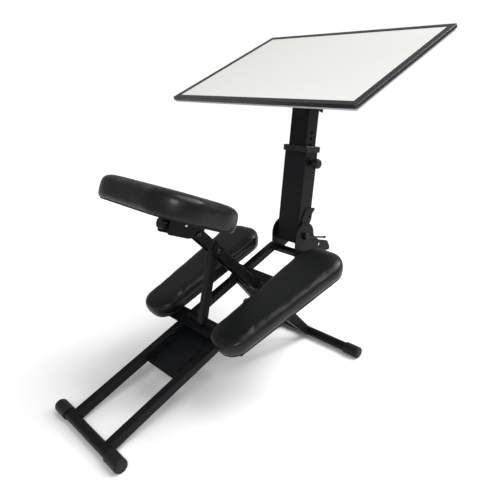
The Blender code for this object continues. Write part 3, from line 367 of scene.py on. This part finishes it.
def make_finishes():
    """One finish for each material slot, and more for the desk's edge and core, the painted shade of the trough's
    slots and the screws.
    """
    return {
        "powder_coat": powder_coat(),
        "zinc": plated_steel("black_zinc", (0.026, 0.027, 0.029), (0.050, 0.051, 0.054)),
        "clear_zinc": plated_steel("clear_zinc", (0.42, 0.43, 0.44), (0.60, 0.61, 0.62)),
        "plastic": moulded(
            "black_plastic", (0.0050, 0.0054, 0.0060), (0.0085, 0.0090, 0.0100),
            roughness=0.42, grain=1500.0, specular=0.25,
        ),
        "rubber": moulded(
            "cap_rubber", (0.0052, 0.0058, 0.0066), (0.0085, 0.0092, 0.0102),
            roughness=0.50, grain=900.0, specular=0.22,
        ),
        "edge": moulded(
            "edge_plastic", (0.008, 0.0088, 0.0102), (0.011, 0.012, 0.014),
            roughness=0.34, grain=1100.0, specular=0.4, scuffed=0.10,
        ),
        # Near-black painted shade for the patches that stand for the trough's slots
        "shadow": moulded(
            "slot_shadow", (0.0012, 0.0012, 0.0013), (0.0020, 0.0020, 0.0022),
            roughness=0.8, grain=900.0, specular=0.1,
        ),
        "upholstery": leatherette(),
        "board": dust_cloth(),
        "laminate": laminate("desk_laminate", (0.745, 0.748, 0.718), (0.722, 0.725, 0.692), sheen=0.46),
        "core": laminate("desk_core", (0.46, 0.465, 0.465), (0.40, 0.405, 0.41), sheen=0.48),
    }


# ---------------------------------------------------------------- shapes

def arc(x, y, radius, start, end, steps):
    """Points along an arc, with both ends."""
    points = []
    for step in range(steps + 1):
        angle = math.radians(start + (end - start) * step / steps)
        points.append((x + radius * math.cos(angle), y + radius * math.sin(angle)))
    return points


def circle(radius, count):
    """Points all round a circle about the origin."""
    return arc(0, 0, radius, 0, 360 - 360 / count, count - 1)


def outline_of(corners, inset, steps=12):
    """A closed outline pulled in from four (x, y, radius) corners, counterclockwise from the front left."""
    points = []
    for number, (x, y, radius) in enumerate(corners):
        side_x, side_y = math.copysign(1, x), math.copysign(1, y)
        r = max(radius - inset, LEAST_CORNER)
        middle = (x - side_x * (inset + r), y - side_y * (inset + r))
        points += arc(*middle, r, number * 90, number * 90 + 90, steps)
    return points


def box_corners(half_x, half_y, radius):
    """The corners of a rounded rectangle, for outline_of."""
    signs = ((1, 1), (-1, 1), (-1, -1), (1, -1))
    return [(x * half_x, y * half_y, radius) for x, y in signs]


def pad_corners():
    """The corners of a knee pad, which is narrower at its rear end."""
    rear, front = PAD_HALVES
    tail, nose = PAD_CORNERS
    reach = PAD_REACH
    return ((reach, front, nose), (-reach, rear, tail), (-reach, -rear, tail), (reach, -front, nose))


def new_object(name, mesh_maker):
    """Turns a bmesh into a linked object and frees it."""
    bmesh.ops.recalc_face_normals(mesh_maker, faces=mesh_maker.faces)
    mesh = bpy.data.meshes.new(name)
    mesh_maker.to_mesh(mesh)
    mesh_maker.free()
    made = bpy.data.objects.new(name, mesh)
    bpy.context.scene.collection.objects.link(made)
    return made


def dress(thing, finish):
    thing.data.materials.clear()
    thing.data.materials.append(finish)


def lofted(rings):
    """A closed solid through rings of points with the same count, capped at both ends."""
    made = bmesh.new()
    loops = [[made.verts.new(point) for point in ring] for ring in rings]
    count = len(loops[0])
    for first, second in zip(loops, loops[1:]):
        for i in range(count):
            j = (i + 1) % count
            made.faces.new((first[i], first[j], second[j], second[i]))
    made.faces.new(reversed(loops[0]))
    made.faces.new(loops[-1])
    return made


def cover_shape(name, corners, side):
    """The plain form of a cover, before the simulation: its outline drawn in at each height."""
    rings = []
    for inset, height in side:
        rings.append([(x, y, height) for x, y in outline_of(corners, inset)])
    return new_object(name, lofted(rings))


def apply_modifiers(thing):
    """Keeps the shape that the modifiers give, and drops them."""
    graph = bpy.context.evaluated_depsgraph_get()
    mesh = bpy.data.meshes.new_from_object(thing.evaluated_get(graph))
    thing.modifiers.clear()
    thing.data = mesh


def points_of(mesh):
    """The vertices as an array of one row each."""
    places = np.empty(len(mesh.vertices) * 3)
    mesh.vertices.foreach_get("co", places)
    return places.reshape(-1, 3)


def place_points(mesh, places):
    mesh.vertices.foreach_set("co", places.reshape(-1))
    mesh.update()


def swell(thing):
    """Lets air pressure fill the cover, as foam does, and limits how far each point moves."""
    cloth = thing.modifiers.new("foam", "CLOTH")
    settings = cloth.settings
    settings.quality = SIM_QUALITY
    settings.mass = SKIN_MASS
    settings.use_pressure = True
    settings.uniform_pressure_force = PRESSURE
    settings.tension_stiffness = SKIN_STIFFNESS
    settings.compression_stiffness = SKIN_STIFFNESS
    settings.bending_stiffness = SKIN_BENDING
    settings.effector_weights.gravity = 0
    cloth.collision_settings.use_collision = False
    cloth.point_cache.frame_start = 1
    cloth.point_cache.frame_end = SIM_FRAMES
    before = points_of(thing.data)
    scene = bpy.context.scene
    for number in range(1, SIM_FRAMES + 1):
        scene.frame_set(number)
    apply_modifiers(thing)
    scene.frame_set(1)
    moved = points_of(thing.data) - before
    length = np.linalg.norm(moved, axis=1, keepdims=True)
    share = np.minimum(1.0, MOST_SWELL / np.maximum(length, 1e-9))
    place_points(thing.data, before + moved * share)


def inset_of(places, outline):
    """How far inside an outline each point lies."""
    start = np.array(outline)
    run = np.roll(start, -1, axis=0) - start
    length = np.maximum((run ** 2).sum(1), 1e-12)
    offset = places[:, None, :2] - start[None]
    share = np.clip((offset * run).sum(2) / length, 0, 1)
    away = offset - share[..., None] * run
    return np.sqrt((away ** 2).sum(2)).min(1)


def seat_on_board(thing, outline, inset):
    """Leaves room underneath for the board, which fills the cover up to its rim."""
    places = points_of(thing.data)
    depth = inset_of(places, outline)
    over_board = (depth > inset) & (places[:, 2] < UNDERSIDE_BELOW)
    places[over_board, 2] = BOARD_RECESS
    places[:, 2] = np.maximum(places[:, 2], LOWEST)
    place_points(thing.data, places)


def add_smooth(thing, rounds):
    smooth = thing.modifiers.new("smooth", "SMOOTH")
    smooth.factor = 0.5
    smooth.iterations = rounds


def make_cover(name, corners, side, inset, finish):
    """A cushion's cover, flat on its board: formed, swollen, smoothed and made finer."""
    cover = cover_shape(name, corners, side)
    remesh = cover.modifiers.new("voxels", "REMESH")
    remesh.mode = "VOXEL"
    remesh.voxel_size = VOXEL
    add_smooth(cover, SMOOTH_BEFORE)
    apply_modifiers(cover)
    swell(cover)
    add_smooth(cover, SMOOTH_AFTER)
    apply_modifiers(cover)
    seat_on_board(cover, outline_of(corners, 0.0), inset)
    finer = cover.modifiers.new("finer", "SUBSURF")
    finer.levels = 1
    finer.render_levels = 1
    apply_modifiers(cover)
    cover.data.shade_smooth()
    dress(cover, finish)
    return cover


def place_cover(cover, world, body, node):
    """Moves a cover to its board and has it stand in for its CAD solid."""
    cover.data.transform(world)
    cover.data.update()
    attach(cover, body)
    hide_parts(node)


def seat_axes():
    """The seat's axes: the origin on its tilt hinge and X along its plate."""
    tilt = Matrix.Rotation(math.radians(-SEAT_TILT), 4, "Y")
    return Matrix.Translation(JOINTS["seat_tilt"]["pos_m"]) @ tilt


def make_seat_cover(finish):
    corners = box_corners(SEAT_SIZE[0] / 2, SEAT_SIZE[1] / 2, SEAT_CORNER)
    cover = make_cover("seat_cover", corners, SEAT_SIDE, SEAT_INSET, finish)
    world = seat_axes() @ Matrix.Translation((-SEAT_BACK, 0, SEAT_RISE))
    place_cover(cover, world, "seat", "seat_cushion")


def make_knee_covers(finish):
    """One cover, simulated once and used on both sides."""
    first = make_cover("knee_cover_left", pad_corners(), PAD_SIDE, PAD_INSET, finish)
    second = first.copy()
    second.data = first.data.copy()
    second.name = "knee_cover_right"
    bpy.context.scene.collection.objects.link(second)
    tilt = Matrix.Rotation(math.radians(-PAD_TILT), 4, "Y")
    for pad, side, word in ((first, 1, "left"), (second, -1, "right")):
        toe = Matrix.Rotation(math.radians(side * PAD_TOE), 4, "Z")
        x, y, z = PAD_PLACE
        place_cover(pad, Matrix.Translation((x, side * y, z)) @ tilt @ toe, "lower_frame", f"knee_pad_{word}")


# ---------------------------------------------------------------- CAD parts and small pieces

def paint_frame(finishes):
    """Gives each CAD part its own finish, or else the finish of its material slot."""
    slots = {part["node"]: part["material_slot"] for part in frame["record"]["subparts"]}
    for name, thing in frame["nodes"].items():
        dress(thing, finishes[OWN_FINISH.get(name, slots[name])])


def make_slot_shade_patches(finish):
    """Thin near-black patches of painted shade on the trough's floor beside the right rail, which read as punched
    slots.
    """
    for number, (along, reach) in enumerate(SLOT_SHADE_PATCHES):
        outline = outline_of(box_corners(reach, SLOT_HALF, SLOT_R), 0.0, steps=4)
        made = lofted([[(x, y, z) for x, y in outline] for z in (0.0, SLOT_PROUD)])
        slot = new_object(f"slot_shade_patch_{number + 1}", made)
        slot.data.transform(RAILS @ Matrix.Translation((along, SLOT_Y, TROUGH_FLOOR)))
        dress(slot, finish)
        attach(slot, "lower_frame")


def make_bead(name, start, end, world, body, finish):
    """A weld: a run of ripples between two points, tapered at both ends."""
    start, end = Vector(start), Vector(end)
    run = end - start
    ripples = max(3, round(run.length / BEAD_PITCH))
    turn = run.to_track_quat("Z", "Y").to_matrix()
    rings = []
    steps = RIPPLE_STEPS * ripples
    for step in range(steps + 1):
        share = step / steps
        radius = BEAD_R * (1 - RIPPLE_DEPTH + RIPPLE_DEPTH * abs(math.sin(math.pi * ripples * share)))
        radius *= min(1.0, BEAD_TIP + BEAD_TAPER * min(share, 1 - share))
        middle = start + run * share
        rings.append([middle + turn @ Vector((x, y, 0)) for x, y in circle(radius, BEAD_POINTS)])
    bead = new_object(name, lofted(rings))
    bead.data.transform(world)
    bead.data.shade_smooth()
    dress(bead, finish)
    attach(bead, body)


def make_beads(finish):
    """Welds where the rails meet the rear foot and the front bar."""
    for side, word in ((1, "left"), (-1, "right")):
        low, high = side * (RAIL_Y - RAIL_HALF), side * (RAIL_Y + RAIL_HALF)
        top = ((FOOT_MEET, low, RAIL_HALF), (FOOT_MEET, high, RAIL_HALF))
        make_bead(f"weld_rear_{word}", *top, RAILS, "lower_frame", finish)
        reach = RAIL_HALF - BEAD_STOP
        upright = ((BAR_MEET, low, -reach), (BAR_MEET, low, reach))
        make_bead(f"weld_front_{word}", *upright, RAILS, "lower_frame", finish)


def make_bracket_screws(finish):
    """A bright dome-headed screw on each cheek of the seat bracket."""
    for side, word in ((1, "left"), (-1, "right")):
        rings = []
        for radius, height in SCREW_PROFILE:
            rings.append([(x, side * (CHEEK_Y + height), z) for x, z in circle(radius, SCREW_POINTS)])
        screw = new_object(f"bracket_screw_{word}", lofted(rings))
        screw.data.transform(seat_axes() @ Matrix.Translation(SCREW_PLACE))
        screw.data.shade_smooth()
        dress(screw, finish)
        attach(screw, "seat")


# ---------------------------------------------------------------- stage, light and camera

def make_stage(finish):
    made = bmesh.new()
    bmesh.ops.create_circle(made, cap_ends=True, segments=96, radius=FLOOR_RADIUS)
    floor = new_object("floor", made)
    floor.location = (0, 0, -FLOOR_DROP)
    dress(floor, finish)


def aimed(made, place, target):
    """Stands a light in its place and points it at its target."""
    made.location = place
    aim = Vector(target) - Vector(place)
    made.rotation_euler = aim.to_track_quat("-Z", "Y").to_euler()
    bpy.context.scene.collection.objects.link(made)


def make_softbox(name, place, target, size, power):
    light = bpy.data.lights.new(name, "AREA")
    light.shape = "DISK"
    light.size = size
    light.energy = power
    aimed(bpy.data.objects.new(name, light), place, target)


def make_key():
    """A wide, even light from far away, so that the floor is lit alike all over."""
    light = bpy.data.lights.new("key", "SUN")
    light.angle = math.radians(KEY_SPREAD)
    light.energy = KEY_STRENGTH
    aimed(bpy.data.objects.new("key", light), KEY_FROM, (0, 0, 0))


def make_sky():
    """White where it is seen, and dimmer as a light, as a room is behind a white backdrop."""
    world = bpy.data.worlds.new("studio")
    world.use_nodes = True
    tree = world.node_tree
    seen = tree.nodes["Background"]
    seen.inputs["Color"].default_value = (1.0, 1.0, 1.0, 1)
    seen.inputs["Strength"].default_value = 1.0
    lights = tree.nodes.new("ShaderNodeBackground")
    lights.inputs["Color"].default_value = (1.0, 1.0, 1.0, 1)
    lights.inputs["Strength"].default_value = SKY_LIGHT
    path = tree.nodes.new("ShaderNodeLightPath")
    mix = tree.nodes.new("ShaderNodeMixShader")
    tree.links.new(path.outputs["Is Camera Ray"], mix.inputs["Fac"])
    tree.links.new(lights.outputs["Background"], mix.inputs[1])
    tree.links.new(seen.outputs["Background"], mix.inputs[2])
    tree.links.new(mix.outputs["Shader"], tree.nodes["World Output"].inputs["Surface"])
    bpy.context.scene.world = world


def make_studio():
    scene = bpy.context.scene
    scene.view_settings.view_transform = "Standard"
    make_sky()
    make_key()
    for softbox in SOFTBOXES:
        make_softbox(*softbox)
    camera = bpy.data.objects.new("camera", bpy.data.cameras.new("camera"))
    camera.data.lens = CAMERA_LENS
    camera.data.sensor_width = SENSOR_WIDTH
    camera.location = CAMERA_PLACE
    camera.rotation_euler = (math.radians(CAMERA_PITCH), 0, math.radians(CAMERA_TURN))
    scene.collection.objects.link(camera)
    scene.camera = camera


def main():
    make_studio()
    finishes = make_finishes()
    paint_frame(finishes)
    make_seat_cover(finishes["upholstery"])
    make_knee_covers(finishes["upholstery"])
    # Patches of painted shade where the trough's slots are
    make_slot_shade_patches(finishes["shadow"])
    make_beads(finishes["powder_coat"])
    make_bracket_screws(finishes["clear_zinc"])
    make_stage(pale_floor())


main()
